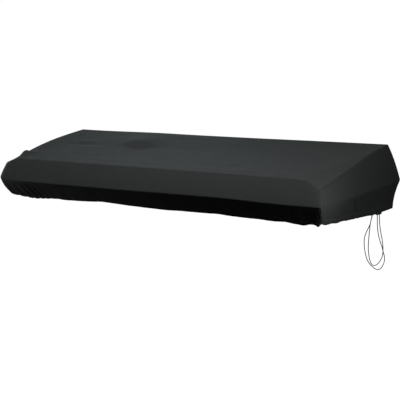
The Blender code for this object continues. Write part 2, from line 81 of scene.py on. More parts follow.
def smooth(table, column, at):
    """Cubic curve through a table's rows: Hermite pieces whose slopes come from the rows beside."""
    places = np.array(table[next(iter(table))])
    values = np.array(table[column])
    slopes = np.gradient(values, places)
    at = np.clip(at, places[0], places[-1])
    row = np.clip(np.searchsorted(places, at, side="right") - 1, 0, len(places) - 2)
    width = places[row + 1] - places[row]
    share = (at - places[row]) / width
    rest = 1 - share
    height = rest ** 2 * (1 + 2 * share) * values[row] + share ** 2 * (1 + 2 * rest) * values[row + 1]
    lean = share * rest ** 2 * slopes[row] - share ** 2 * rest * slopes[row + 1]
    return height + lean * width


def unit(vectors):
    """Vectors divided by their length."""
    return vectors / np.maximum(np.linalg.norm(vectors, axis=-1, keepdims=True), 1e-12)


def points(x, y, z):
    """One array of points from arrays of coordinates, broadcast together."""
    return np.stack(np.broadcast_arrays(x, y, z), axis=-1)


def in_loop_plane(along, down, offset):
    """Points at distances along the loops' upright plane, down from the exit and out of the plane."""
    turn = np.radians(LOOP_TURN)
    x = CORD_EXIT[0] + along * np.cos(turn) + offset * np.sin(turn)
    y = CORD_EXIT[1] + along * np.sin(turn) - offset * np.cos(turn)
    return points(x, y, CORD_EXIT[2] - down)


def surface(name, grid, uv, hem=None, around=False, caps=False):
    """Object whose mesh has a face between each four neighbours of a grid of points.

    Columns run to the right and rows up as seen from outside. around joins the last column to the
    first, and caps closes the first and the last row. uv has one more column where it goes around.
    hem is a second pair of coordinates, for the stitching of a cloth's hem.
    """
    rows, columns = grid.shape[:2]
    index = np.arange(rows * columns).reshape(rows, columns)
    uv_index = np.arange(uv.shape[0] * uv.shape[1]).reshape(uv.shape[:2])
    if around:
        index = np.concatenate([index, index[:, :1]], axis=1)

    def corners(of):
        return np.stack([of[:-1, :-1], of[:-1, 1:], of[1:, 1:], of[1:, :-1]], axis=-1).reshape(-1, 4)

    faces = corners(index).tolist()
    places = uv.reshape(-1, 2)[corners(uv_index).ravel()]
    if caps:
        faces += [index[0, -2::-1].tolist(), index[-1, :-1].tolist()]
        places = np.concatenate([places, uv[0, -2::-1], uv[-1, :-1]])
    mesh = bpy.data.meshes.new(name)
    mesh.from_pydata(grid.reshape(-1, 3).tolist(), [], faces)
    mesh.uv_layers.new(name="cloth").data.foreach_set("uv", places.astype(np.float32).ravel())
    if hem is not None:
        places = hem.reshape(-1, 2)[corners(uv_index).ravel()]
        mesh.uv_layers.new(name="hem").data.foreach_set("uv", places.astype(np.float32).ravel())
    mesh.shade_smooth()
    made = bpy.data.objects.new(name, mesh)
    bpy.context.scene.collection.objects.link(made)
    return made


def scaled(colour, by):
    """Colour times a number."""
    return tuple(by * value for value in colour)


class Wire:
    """One output in a material's nodes. Arithmetic on it adds Math nodes, and node() any other."""

    def __init__(self, tree, output=None):
        self.tree = tree
        self.output = output

    def node(self, kind, settings=None, values=None, output=0):
        """Add a node, set its settings and then its sockets' values or links, and give an output."""
        made = self.tree.nodes.new("ShaderNode" + kind)
        for name, setting in (settings or {}).items():
            setattr(made, name, setting)
        for name, value in (values or {}).items():
            if isinstance(value, Wire):
                self.tree.links.new(value.output, made.inputs[name])
            else:
                made.inputs[name].default_value = value
        return Wire(self.tree, made.outputs[output])

    def math(self, operation, *values):
        """Math node with this wire as its first value."""
        inputs = dict(enumerate((self, *values)))
        return self.node("Math", {"operation": operation}, inputs)

    def __add__(self, other):
        return self.math("ADD", other)

    def __mul__(self, other):
        return self.math("MULTIPLY", other)

    def __sub__(self, other):
        return self.math("SUBTRACT", other)

    def __rsub__(self, other):
        return self.math("MULTIPLY_ADD", -1.0, other)

    __radd__ = __add__
    __rmul__ = __mul__

    def part(self, axis):
        """One component of a vector."""
        return self.node("SeparateXYZ", values={"Vector": self}, output=axis)

    def tint(self, dark, light):
        """Colour between two others, by this wire's value from 0 to 1. The first may be a wire."""
        values = {"Factor": self, 6: dark if isinstance(dark, Wire) else (*dark, 1), 7: (*light, 1)}
        return self.node("Mix", {"data_type": "RGBA"}, values, output=2)

    def near(self, middle, half_width):
        """1 where this wire's value is a middle one, falling smoothly to 0 around a half width off."""
        away = (self - middle).math("ABSOLUTE")
        values = {"Value": away, "From Min": 0.5 * half_width, "From Max": 1.5 * half_width,
                  "To Min": 1.0, "To Max": 0.0}
        return self.node("MapRange", {"interpolation_type": "SMOOTHSTEP"}, values)

    def relief(self, depth):
        """Normal of a surface whose height is this wire's value times a depth in metres."""
        return self.node("Bump", values={"Distance": depth, "Height": self})

    def into(self, shader, socket):
        """Link this wire to a shader's socket."""
        self.tree.links.new(self.output, shader.inputs[socket])


def material(name, roughness, constants=None):
    """New material with a Principled shader, and a wire to start its nodes from."""
    made = bpy.data.materials.new(name)
    made.use_nodes = True
    shader = made.node_tree.nodes["Principled BSDF"]
    shader.inputs["Roughness"].default_value = roughness
    for socket, value in (constants or {}).items():
        shader.inputs[socket].default_value = value
    return made, shader, Wire(made.node_tree)


def braid_material(name):
    """Black polyester braid: crossed strands in relief, each painted a little lighter along its middle
    as a highlight.
    """
    made, shader, start = material(name, 0.55, {"Sheen Weight": 0.15, "Sheen Roughness": 0.4})
    braid = start.node("UVMap", {"uv_map": "cloth"})
    run, turn = braid.part("X"), braid.part("Y")
    strands = 2 * np.pi * BRAID_STRANDS
    left = (turn * strands + run * (strands / BRAID_PITCH)).math("SINE")
    right = (turn * strands - run * (strands / BRAID_PITCH)).math("SINE")
    crossing = (left * right) * 0.5 + 0.5
    place = start.node("TexCoord", output="Object")
    grain = start.node("TexNoise", values={"Vector": place, "Scale": 900.0})
    # colour: a painted highlight along each strand's middle, with random grain in the tone
    grain_and_painted_highlight = crossing * 0.7 + grain * 0.3
    grain_and_painted_highlight.tint(CORD_BLACK, scaled(CORD_BLACK, 1.9)).into(shader, "Base Color")
    crossing.relief(BRAID_RELIEF).into(shader, "Normal")
    return made


def cord_path(loop, offset):
    """Evenly spaced points on the smooth curve through a loop's route."""
    route = in_loop_plane(np.array(loop["along"]), np.array(loop["down"]), offset)
    run = np.concatenate([[0], np.cumsum(np.linalg.norm(np.diff(route, axis=0), axis=1))])
    steps = np.linspace(0, run[-1], int(run[-1] / CORD_RING) + 1)
    table = {"run": run, "x": route[:, 0], "y": route[:, 1], "z": route[:, 2]}
    return points(*(smooth(table, axis, steps) for axis in "xyz"))


def cord_tube(name, path):
    """Round tube: each ring is the path's point plus a radius times cosine and sine around it.

    The path lies in one plane, so the plane's normal and its cross with the path's direction are
    the two axes of every ring. The tube runs on straight past the path's end, into the lock.
    """
    on = np.arange(1, INTO_LOCK + 1)[:, None]
    path = np.concatenate([path, path[-1] + on * (path[-1] - path[-2])])
    turn = np.radians(LOOP_TURN)
    outward = np.array([np.sin(turn), -np.cos(turn), 0.0])
    along = unit(np.gradient(path, axis=0))
    inward = np.cross(along, outward)
    angle = np.linspace(0, 2 * np.pi, CORD_SIDES, endpoint=False)[None, :, None]
    ring = outward * np.cos(angle) + inward[:, None] * np.sin(angle)
    run = np.arange(len(path)) * CORD_RING
    uv = np.stack(np.meshgrid(run, np.linspace(0, 1, CORD_SIDES + 1), indexing="ij"), axis=-1)
    tube = surface(name, path[:, None] + ring * CORD_DIAMETER / 2, uv, around=True, caps=True)
    tube.data.materials.append(braid_material(name))
    return tube


def stand_for(piece, node):
    """Declare a piece's body and hide the solid that it stands for."""
    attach(piece, "root")
    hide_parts(node)


def hang_loop(node, loop, offset):
    path = cord_path(loop, offset)
    tube = cord_tube(node + "_braid", path)
    stand_for(tube, node)


hang_loop("cord_loop_outer", OUTER_LOOP, -LOOP_OFFSET)


# Inner cord loop: the shorter loop of the same braid, beside the outer one and inside its bend.
INNER_LOOP = {
    "along": (-0.0014, -0.0056, -0.0095, -0.0110, -0.0128, -0.0144, -0.0147, -0.0124, -0.0086,
              -0.0034, 0.0028, 0.0100, 0.0211, 0.0308, 0.0379, 0.0409, 0.0404, 0.0376, 0.0320,
              0.0270, 0.0246),
    "down": (0.0004, 0.0121, 0.0246, 0.0376, 0.0505, 0.0686, 0.0866, 0.1016, 0.1153,
             0.1250, 0.1305, 0.1325, 0.1300, 0.1233, 0.1142, 0.1043, 0.0826, 0.0692, 0.0502,
             0.0281, 0.0035),
}

hang_loop("cord_loop_inner", INNER_LOOP, LOOP_OFFSET)


# Cord lock: a small barrel of black moulded nylon that grips the drawcord. A ribbed button stands
# out of its far end on a spring, and it lies under the hem along the plane of the loops.
LOCK_ALONG = 0.0226      # from the exit to its middle
LOCK_LENGTH, LOCK_RADIUS = 0.0190, 0.0050
LOCK_TOP = -0.1431       # height at which it meets the hem
LOCK_PROFILE = {
    # shares of the length from end to end, and of the radius
    "along": (0.0, 0.0, 0.02, 0.06, 0.12, 0.20, 0.24, 0.27, 0.30, 0.50, 0.64, 0.66, 0.67, 0.72, 0.73,
              0.74, 0.80, 0.81, 0.83, 0.87, 0.88, 0.90, 0.94, 0.97, 1.0, 1.0),
    "radius": (0.02, 0.62, 0.76, 0.90, 0.98, 1.0, 0.99, 0.94, 0.99, 1.0, 0.98, 0.94, 0.70, 0.70, 0.84,
               0.86, 0.86, 0.81, 0.81, 0.86, 0.86, 0.81, 0.80, 0.72, 0.56, 0.02),
}
LOCK_SIDES = 40
LOCK_BLACK = (0.010, 0.0105, 0.011)
LOCK_GRAIN = 0.00004     # depth of the mould's grain


def lock_barrel():
    """Profile turned about the barrel's axis: along it, and the radius times cosine and sine."""
    along = (np.array(LOCK_PROFILE["along"]) - 0.5)[:, None] * LOCK_LENGTH
    radius = np.array(LOCK_PROFILE["radius"])[:, None] * LOCK_RADIUS
    around = np.linspace(0, 2 * np.pi, LOCK_SIDES, endpoint=False)[None, :]
    down = CORD_EXIT[2] - LOCK_TOP + LOCK_RADIUS + radius * np.sin(around)
    grid = in_loop_plane(LOCK_ALONG + along, down, radius * np.cos(around))
    turn = np.linspace(0, 1, LOCK_SIDES + 1)[None, :] + 0 * along
    uv = np.stack([turn, along + 0 * turn], axis=-1)
    return surface("cord_lock_barrel", grid, uv, around=True, caps=True)


def lock_material():
    """Moulded black nylon: fine spark-eroded grain, rubbed a little smoother in patches."""
    made, shader, start = material("cord_lock_nylon", 0.42)
    place = start.node("TexCoord", output="Object")
    grain = start.node("TexNoise", values={"Vector": place, "Scale": 2600.0, "Detail": 3.0})
    rubbed = start.node("TexNoise", values={"Vector": place, "Scale": 240.0, "Detail": 2.0})
    rubbed.tint(LOCK_BLACK, scaled(LOCK_BLACK, 1.8)).into(shader, "Base Color")
    (rubbed * 0.22 + 0.32).into(shader, "Roughness")
    grain.relief(LOCK_GRAIN).into(shader, "Normal")
    return made


lock = lock_barrel()
lock.data.materials.append(lock_material())
stand_for(lock, "cord_lock")


# Main panel: one length of black stretch knit, from the front hem over the keyboard to the back hem.
# Its sides are sewn to the end panels. Each hem is turned inside and stitched down as the drawcord's
# channel, so that the skirt is gathered and drawn in under the keyboard.
CLOTH = 0.0011           # thickness of one layer
MAIN_LENGTH = 1.04       # along the panel, from seam to seam
TOP_FRONT, TOP_BACK = -0.205, 0.150
WIDE_FRONT, WIDE_BACK = -0.211, 0.2165
WIDE_END = {"right": 0.5235, "left": 0.5255}
CORNER_RADII = {
    "top": {"right": (0.007, 0.0), "left": (0.050, 0.0)},        # front, back
    "wide": {"right": (0.004, 0.010), "left": (0.030, 0.014)},
    "hem": {"right": (0.004, 0.010), "left": (0.016, 0.012)},
}
# Lines along the length: the ridge, the front crease, the widest lines and the hems with their
# scallops, as heights or as distances behind the middle
RIDGE = {
    "x": (-0.512, -0.430, -0.270, -0.100, 0.100, 0.300, 0.516),
    "z": (0.0256, 0.0252, 0.0261, 0.0258, 0.0257, 0.0264, 0.0268),
}
CREASE = {
    "x": (-0.52, -0.44, -0.396, -0.325, -0.248, -0.109, 0.050, 0.177, 0.303, 0.406, 0.478, 0.52),
    "z": (-0.0352, -0.0368, -0.0344, -0.0324, -0.0326, -0.0323, -0.0314, -0.0305, -0.0301, -0.0313,
          -0.0330, -0.0338),
}
FRONT_WIDEST = {
    "x": (-0.512, -0.48, -0.376, -0.267, -0.089, 0.1185, 0.250, 0.410, 0.5235),
    "z": (-0.0905, -0.0945, -0.0962, -0.0961, -0.0958, -0.0943, -0.0937, -0.0966, -0.0960),
}
BACK_WIDEST_HEIGHT = -0.069
FRONT_HEM = {
    "x": (-0.52, -0.495, -0.44, -0.30, 0.00, 0.30, 0.42, 0.48, 0.507, 0.52),
    "y": (-0.178, -0.177, -0.170, -0.163, -0.160, -0.163, -0.166, -0.169, -0.175, -0.178),
}
FRONT_SCALLOPS = {
    "x": (-0.510, -0.488, -0.453, -0.417, -0.380, -0.344, -0.309, -0.237, -0.166, -0.132, -0.064,
          0.003, 0.036, 0.101, 0.164, 0.195, 0.256, 0.316, 0.375, 0.404, 0.434, 0.458, 0.475,
          0.488, 0.496, 0.507, 0.515),
    "z": (-0.1375, -0.1406, -0.1447, -0.1476, -0.1458, -0.1434, -0.1443, -0.1428, -0.1402, -0.1411,
          -0.1435, -0.1442, -0.1447, -0.1432, -0.1424, -0.1419, -0.1434, -0.1440, -0.1449, -0.1440,
          -0.1466, -0.1470, -0.1432, -0.1438, -0.1466, -0.1400, -0.1382),
}
BACK_HEM = {
    "x": (-0.51, -0.40, 0.00, 0.40, 0.51),
    "y": (0.2075, 0.190, 0.182, 0.190, 0.2075),
}
BACK_SCALLOPS = {
    "x": (-0.51, -0.42, -0.31, -0.22, -0.12, -0.02, 0.09, 0.20, 0.29, 0.40, 0.51),
    "z": (-0.1435, -0.1460, -0.1432, -0.1468, -0.1440, -0.1472, -0.1436, -0.1465, -0.1440, -0.1468,
          -0.1435),
}
# The end seams, from front to back: how far each lies below the flat of the top, and where the top
# starts to fall towards it. The ends' own lines stand here too, because the panels meet on them.
SEAM_PLACES = (-0.205, -0.157, -0.120, -0.085, -0.048, -0.007, 0.037, 0.080, 0.150)
END_SEAM = {
    "right": {
        "y": SEAM_PLACES,
        "x": (0.5190, 0.5180, 0.5170, 0.5165, 0.5160, 0.5155, 0.5150, 0.5150, 0.5160),
        "drop": (0.0215, 0.0186, 0.0160, 0.0128, 0.0098, 0.0064, 0.0026, 0.0008, 0.0004),
        "fall_from": (0.478, 0.482, 0.486, 0.490, 0.494, 0.498, 0.503, 0.508, 0.514),
    },
    "left": {
        "y": SEAM_PLACES,
        "x": (0.5150, 0.5150, 0.5150, 0.5150, 0.5150, 0.5150, 0.5145, 0.5140, 0.5120),
        "drop": (0.0225, 0.0194, 0.0134, 0.0090, 0.0046, 0.0012, -0.0008, -0.0013, -0.0008),
        "fall_from": (0.440, 0.456, 0.470, 0.482, 0.492, 0.500, 0.504, 0.507, 0.510),
    },
}
END_WIDEST = {
    "y": (-0.211, -0.130, -0.067, -0.013, 0.041, 0.098, 0.157, 0.2165),
    "right": (-0.0960, -0.0935, -0.0888, -0.0862, -0.0822, -0.0795, -0.0755, -0.0690),
    "left": (-0.0905, -0.0900, -0.0880, -0.0862, -0.0822, -0.0795, -0.0755, -0.0690),
}
END_HEM = {
    "y": (-0.178, -0.150, -0.100, -0.050, 0.000, 0.050, 0.090, 0.105, 0.125, 0.160, 0.2075),
    "right": (0.5095, 0.5085, 0.5062, 0.5035, 0.5010, 0.4990, 0.4995, 0.5010, 0.5045, 0.5055, 0.5085),
    "left": (0.5050, 0.5045, 0.5030, 0.5015, 0.5000, 0.4990, 0.4990, 0.4995, 0.5010, 0.5035, 0.5070),
}
END_SCALLOPS = {
    "right": {
        "y": (-0.178, -0.160, -0.126, -0.091, -0.075, -0.041, -0.008, 0.026, 0.059, 0.091, 0.1043,
              0.112, 0.118, 0.131, 0.139, 0.155, 0.180, 0.2075),
        "z": (-0.1382, -0.1422, -0.1428, -0.1456, -0.1444, -0.1462, -0.1470, -0.1480, -0.1482,
              -0.1490, -0.1494, -0.1480, -0.1434, -0.1434, -0.1456, -0.1450, -0.1432, -0.1400),
    },
    "left": {
        "y": (-0.178, -0.130, -0.080, -0.025, 0.030, 0.090, 0.150, 0.2075),
        "z": (-0.1375, -0.1440, -0.1425, -0.1462, -0.1435, -0.1465, -0.1440, -0.1425),
    },
}
# How far each wall stands out above its widest line, and how far each skirt lies in below it
CROWN = {"front": 0.0010, "back": 0.0045, "right": 0.0012, "left": 0.0012}
FRONT_HOLLOW = {
    "x": (-0.490, -0.430, -0.360),
    "depth": (-0.0050, -0.0018, 0.0015),
}
BACK_HOLLOW = 0.0050
END_HOLLOW = {
    "y": (-0.180, -0.120, 0.030, 0.180),
    "right": (0.0, 0.0, 0.0020, 0.0030),
    "left": (-0.0045, -0.0018, 0.0020, 0.0030),
}
TOP_FOLDS = [
    # x, y, half length, half width, turn in degrees, height
    (-0.470, -0.150, 0.013, 0.018, 62.0, 0.0110),    # the peak that stands at the left corner
    (-0.458, -0.133, 0.018, 0.015, 62.0, 0.0048),    # its back
    (-0.450, -0.198, 0.050, 0.017, 0.0, 0.0036),     # and the shelf in front of it
    (-0.194, 0.014, 0.050, 0.021, 2.0, 0.0078),      # the bump behind the middle, steep in front
    (-0.199, 0.041, 0.058, 0.030, 2.0, 0.0055),      # and its long back, which is nearly level
    (-0.205, 0.075, 0.075, 0.049, 2.0, 0.0052),
    (-0.060, 0.000, 0.240, 0.040, -3.0, -0.0022),    # the sag beside it
    (-0.360, -0.012, 0.075, 0.016, -3.0, -0.0028),   # the crease to the left of it, and its far side
    (-0.385, 0.014, 0.050, 0.013, 14.0, 0.0018),
    (-0.150, 0.118, 0.200, 0.014, -4.0, 0.0016),     # the ridge behind the bump
    (0.310, 0.030, 0.150, 0.045, -10.0, -0.0040),    # the sag over the right half
    (0.270, -0.203, 0.250, 0.011, 0.0, -0.0020),     # the soft roll along the crease
    (0.190, -0.123, 0.160, 0.012, 0.0, 0.0015),      # pulled lines along the front
    (0.215, -0.153, 0.130, 0.009, 6.0, -0.0012),
    (0.320, -0.138, 0.130, 0.008, 2.0, 0.0012),
    (-0.020, -0.160, 0.250, 0.014, -0.6, 0.0014),
    # shallow pulled lines
    (0.060, -0.139, 0.230, 0.0060, -0.8, 0.0004),
    (-0.050, -0.118, 0.160, 0.0065, -0.4, 0.0005),
    (0.300, -0.182, 0.160, 0.0060, -0.8, 0.0005),
    (-0.330, -0.110, 0.120, 0.0090, 1.5, 0.0007),
    (0.050, 0.080, 0.150, 0.0120, 5.0, 0.0009),
    (0.340, 0.105, 0.120, 0.0120, -6.0, 0.0008),
    (0.020, 0.012, 0.120, 0.0080, -5.0, 0.0007),
]
FRONT_GATHERS = [
    # x at the widest line, x at the hem, half width, depth
    (-0.4920, -0.470, 0.0050, 0.0030),
    (-0.4660, -0.443, 0.0050, 0.0034),
    (-0.4410, -0.418, 0.0050, 0.0040),
    (-0.4200, -0.397, 0.0052, 0.0048),
    (-0.4010, -0.380, 0.0050, 0.0040),
    (-0.3790, -0.360, 0.0055, 0.0024),
    (-0.3450, -0.330, 0.0080, 0.0014),
    (-0.2900, -0.284, 0.0120, 0.0012),
    (-0.1800, -0.182, 0.0160, 0.0020),
    (-0.0600, -0.058, 0.0180, 0.0014),
    (0.0700, 0.074, 0.0200, 0.0014),
    (0.2050, 0.201, 0.0180, 0.0020),
    (0.3300, 0.328, 0.0150, 0.0016),
    (0.4000, 0.400, 0.0090, 0.0012),
    (0.4360, 0.434, 0.0080, 0.0012),
    (0.4680, 0.465, 0.0070, 0.0014),
]
BACK_GATHERS = [
    (-0.425, -0.415, 0.016, 0.0020),
    (-0.310, -0.305, 0.018, 0.0022),
    (-0.180, -0.178, 0.020, 0.0018),
    (-0.040, -0.042, 0.018, 0.0022),
    (0.110, 0.108, 0.020, 0.0018),
    (0.250, 0.244, 0.017, 0.0022),
    (0.400, 0.390, 0.016, 0.0020),
]
GATHER_RUN = 0.35        # share of the skirt over which a gather deepens
PUCKER_ROWS = {
    # along a hem: the first pucker, the last one, their spacing, and how far they lean per height
    "front": (-0.50, 0.50, 0.0150, 0.0),
    "back": (-0.49, 0.49, 0.0170, 0.0),
    "end": (-0.17, 0.05, 0.0130, -1.1),
}
PUCKER_RANGES = {
    # lean added, half width and step as shares of the spacing, depth, and the height of its top
    "lean": (-0.25, 0.25),
    "half_width": (0.22, 0.36),
    "depth": (0.0003, 0.0010),
    "top": (0.018, 0.040),
    "step": (0.65, 1.35),
}
# Around the panel, in metres from the front crease. The lines are the front hem, the front widest
# line, the crease, the ridge, the back widest line and the back hem, with a little more at each end.
AROUND = {
    "line": (-2.3, -2.0, -1.0, 0.0, 1.0, 2.0, 3.0, 3.3),
    "run": (-0.15185, -0.1313, -0.0628, 0.0, 0.3577, 0.4728, 0.5555, 0.58031),
}
HEM_DROP = 0.0030        # how far the fold hangs past the hem lines of the tables
FRONT_HEM_RUN, BACK_HEM_RUN = AROUND["run"][1] - HEM_DROP, AROUND["run"][-2] + HEM_DROP
CREASE_REACH = 0.0030    # how far a crease's rounding runs to either side
SEAM_PULL = 0.010        # within this of a seam, each panel is drawn to the common line
SEAM_ROLL = 0.0012       # radius by which a panel's edge turns inside at a seam
SEAM_GAP = 0.0002        # from each rolled edge to the seam's middle
NORMAL_REACH = 0.006     # within this of a seam, the panels' normals turn to the common ones
FLAT_REACH = 0.008       # and the puckers and the channel's swell die away
SHARE_STEP = 0.002       # step of a share by which directions along a line are worked out
SEAM_STEPS = 1501        # points of a seam's table
ALLOWANCE = (0.0025, 0.0060)     # how far the turned edge stands inside, in steps
HEM_ROLL = 0.0020        # radius of the hem's fold
HEM_DEPTH = 0.0175       # from the hem's lower edge to its stitching
HEM_CLOSED = 1.15        # thicknesses between the hem's layers at the stitching
HEM_PUFF = 0.0009        # how far the channel swells between the edge and the stitching
STITCH_DENT, STITCH_DENT_WIDTH = 0.0008, 0.0012
HEM_HOLD = 0.4           # share of a pucker's depth at the hem's own edge
SEED = 11
# Grid steps in metres: the usual one, and closer ones around each listed place
COLUMN_STEP = 0.0050
COLUMN_CROWDS = [
    # share of the length, step, width as a share
    (0.0, 0.0016, 0.030),
    (0.090, 0.0030, 0.060),
    (0.975, 0.0030, 0.050),
    (1.0, 0.0016, 0.020),
]
ROW_STEP = 0.0070
ROW_CROWDS = [
    # metres around, step, width
    *[(crease, 0.0015, 0.008) for crease in AROUND["run"][2:-2]],
    (FRONT_HEM_RUN + HEM_DEPTH, 0.0017, 0.010),      # the hems' stitching
    (BACK_HEM_RUN - HEM_DEPTH, 0.0022, 0.010),
    (0.045, 0.0038, 0.040),                          # the top's front, with its peak and lines
]
KNIT_BLACK = (0.0318, 0.0330, 0.0334)
KNIT_ROUGHNESS = 0.85
KNIT_CONSTANTS = {"Specular IOR Level": 0.10}
WALE, COURSE = 0.0011, 0.0009    # width and height of one stitch of the knit
KNIT_RELIEF = 0.00012            # depth between the stitches
THREAD_BLACK = (0.052, 0.054, 0.055)
THREAD_ROWS = (-0.0032, 0.0)     # of the hem's twin-needle stitching, from its depth
THREAD_PITCH = 0.0026            # from one stitch to the next
THREAD_HALF = 0.00035            # half a thread's width
THREAD_DASH = 0.22               # half a stitch, as a share of the pitch


def blend(low, high, share):
    """Straight blend from one value to another."""
    return low + (high - low) * share


def ease(share):
    """From 0 to 1, level at both: 3 s squared less 2 s cubed."""
    share = np.clip(share, 0, 1)
    return share * share * (3 - 2 * share)


def reach(radius):
    """From a square corner back to the middle of its rounding, along either side."""
    return radius * (1 - np.sqrt(0.5))


def turned_in(beyond, radius):
    """How far a round corner has left its side: radius less the circle's height at that distance."""
    beyond = np.clip(beyond, 0, radius * np.sqrt(0.5))
    return radius - np.sqrt(radius ** 2 - beyond ** 2)


def fall(x, start, end):
    """0 where the top is flat, then soon a straight fall to 1 at the seam: a softened ramp."""
    softness = 0.18      # share of the run over which the slope sets in
    run = np.clip((x - start) / (end - start), 0, 1)
    return (np.hypot(run, softness) - softness) / (np.hypot(1, softness) - softness)


def top_height(x, y):
    """Height of the top: a slope from crease to ridge, less the falls at the ends, plus the folds.

    Each fold is its height times a bell curve along its own turned axis times one across it.
    """
    depth = (y - TOP_FRONT) / (TOP_BACK - TOP_FRONT)
    height = blend(smooth(CREASE, "z", x), smooth(RIDGE, "z", x), depth)
    for end, sign in (("right", 1), ("left", -1)):
        seam = END_SEAM[end]
        start, edge = smooth(seam, "fall_from", y), smooth(seam, "x", y)
        height = height - smooth(seam, "drop", y) * fall(sign * x, start, edge)
    for fold_x, fold_y, half_length, half_width, turn, rise in TOP_FOLDS:
        cos, sin = np.cos(np.radians(turn)), np.sin(np.radians(turn))
        along = ((x - fold_x) * cos + (y - fold_y) * sin) / half_length
        across = ((y - fold_y) * cos - (x - fold_x) * sin) / half_width
        height = height + rise * np.exp(-along ** 2 - across ** 2)
    return height


def seam_reach(end, y):
    """Distance of an end's top seam from the middle, with its front corner rounded."""
    radius = CORNER_RADII["top"][end][0]
    y = np.maximum(y, TOP_FRONT + reach(radius))
    return smooth(END_SEAM[end], "x", y) - turned_in(TOP_FRONT + radius - y, radius)


def top_point(share, depth):
    """The top: share runs from the left seam to the right one, depth from the crease to the ridge."""
    right, left = CORNER_RADII["top"]["right"][0], CORNER_RADII["top"]["left"][0]
    right_edge, left_edge = END_SEAM["right"]["x"][0], END_SEAM["left"]["x"][0]
    front_x = blend(reach(left) - left_edge, right_edge - reach(right), share)
    front_y = (TOP_FRONT + turned_in(front_x - right_edge + right, right)
               + turned_in(left - left_edge - front_x, left))
    y = blend(front_y, TOP_BACK, depth)
    x = blend(-seam_reach("left", y), seam_reach("right", y), share)
    return points(x, y, top_height(x, y))


def long_lines(side, share):
    """Top edge, widest line and hem along the front or the back, their corners rounded in plan."""
    at, backward = (0, 1) if side == "front" else (1, -1)

    def plan(line, right_end, left_end):
        right, left = CORNER_RADII[line]["right"][at], CORNER_RADII[line]["left"][at]
        x = blend(reach(left) - left_end, right_end - reach(right), share)
        inset = turned_in(x - right_end + right, right) + turned_in(left - left_end - x, left)
        return x, inset * backward

    top = top_point(share, np.full_like(share, at))
    x, inset = plan("wide", WIDE_END["right"], WIDE_END["left"])
    if side == "front":
        widest = points(x, WIDE_FRONT + inset, smooth(FRONT_WIDEST, "z", x))
    else:
        widest = points(x, WIDE_BACK + inset, BACK_WIDEST_HEIGHT)
    x, inset = plan("hem", END_HEM["right"][-at], END_HEM["left"][-at])
    in_plan, scallops = (FRONT_HEM, FRONT_SCALLOPS) if side == "front" else (BACK_HEM, BACK_SCALLOPS)
    return top, widest, points(x, smooth(in_plan, "y", x) + inset, smooth(scallops, "z", x))


def end_lines(end, share):
    """Top seam, widest line and hem of an end, from its front corner to its back one."""
    sign = 1 if end == "right" else -1

    def plan(line, front_y, back_y):
        front, back = CORNER_RADII[line][end]
        y = blend(front_y + reach(front), back_y - reach(back), share)
        return y, turned_in(front_y + front - y, front) + turned_in(y - back_y + back, back)

    y, _ = plan("top", TOP_FRONT, TOP_BACK)
    x = sign * seam_reach(end, y)
    top = points(x, y, top_height(x, y))
    y, inset = plan("wide", WIDE_FRONT, WIDE_BACK)
    widest = points(sign * (WIDE_END[end] - inset), y, smooth(END_WIDEST, end, y))
    y, inset = plan("hem", FRONT_HEM["y"][-1 if end == "right" else 0], BACK_HEM["y"][0])
    hem = points(sign * (smooth(END_HEM, end, y) - inset), y, smooth(END_SCALLOPS[end], "z", y))
    return top, widest, hem


def wall_point(lines, side, share, level, crown, hollow, turn):
    """Wall through three lines at levels 0, 1 and 2: straight between them, plus two parabolas.

    The upper run stands out by the crown, and the lower one in by the hollow, both square to the
    run and greatest at its middle.
    """
    top, widest, hem = lines(side, share)
    along = lines(side, share + SHARE_STEP)[1] - lines(side, share - SHARE_STEP)[1]
    sideways = np.cross(unit(along), (0, 0, 1)) * turn
    upper = np.clip(level, 0, 1)[..., None]
    lower = np.maximum(level - 1, 0)[..., None]
    surface_point = blend(blend(top, widest, upper), hem, lower)
    for run, part, height in ((widest - top, upper, crown), (hem - widest, lower, -hollow)):
        tilt = (sideways * run).sum(axis=-1, keepdims=True) / (run * run).sum(axis=-1, keepdims=True)
        surface_point = surface_point + unit(sideways - run * tilt) * height * 4 * part * (1 - part)
    return surface_point


def main_point(share, run):
    """Main panel with sharp creases: the front wall, the top and the back wall, end to end."""
    line = np.interp(run, AROUND["run"], AROUND["line"])
    hollow = smooth(FRONT_HOLLOW, "depth", long_lines("front", share)[1][..., 0])[..., None]
    front = wall_point(long_lines, "front", share, -line, CROWN["front"], hollow, 1)
    back = wall_point(long_lines, "back", share, line - 1, CROWN["back"], BACK_HOLLOW, -1)
    top = top_point(share, np.clip(line, 0, 1))
    line = line[..., None]
    return np.where(line < 0, front, np.where(line < 1, top, back))


def end_point(end, share, level):
    """End panel with a sharp crease: share from front to back, level from the seam to the hem."""
    hollow = smooth(END_HOLLOW, end, end_lines(end, share)[1][..., 1])[..., None]
    turn = 1 if end == "right" else -1
    return wall_point(end_lines, end, share, level, CROWN[end], hollow, turn)


def end_edge(end, run):
    """Border of an end panel that is sewn: its front edge, its top edge and its back edge."""
    line = np.interp(run, AROUND["run"], AROUND["line"])
    level = np.where(line < 0, -line, np.maximum(line - 1, 0))
    return end_point(end, np.clip(line, 0, 1), level)


def softened(point, run, width):
    """A surface averaged to either side along its run, by a raised cosine; this rounds its creases."""
    steps = np.linspace(-1, 1, 9)[1:-1]
    weights = 1 + np.cos(np.pi * steps)
    parts = [weight * point(run + step * width) for step, weight in zip(steps, weights)]
    return sum(parts) / weights.sum()


def placed(line, places, wanted):
    """A line's points or directions at other places along it."""
    return np.stack([np.interp(wanted, places, line[:, axis]) for axis in range(3)], axis=-1)


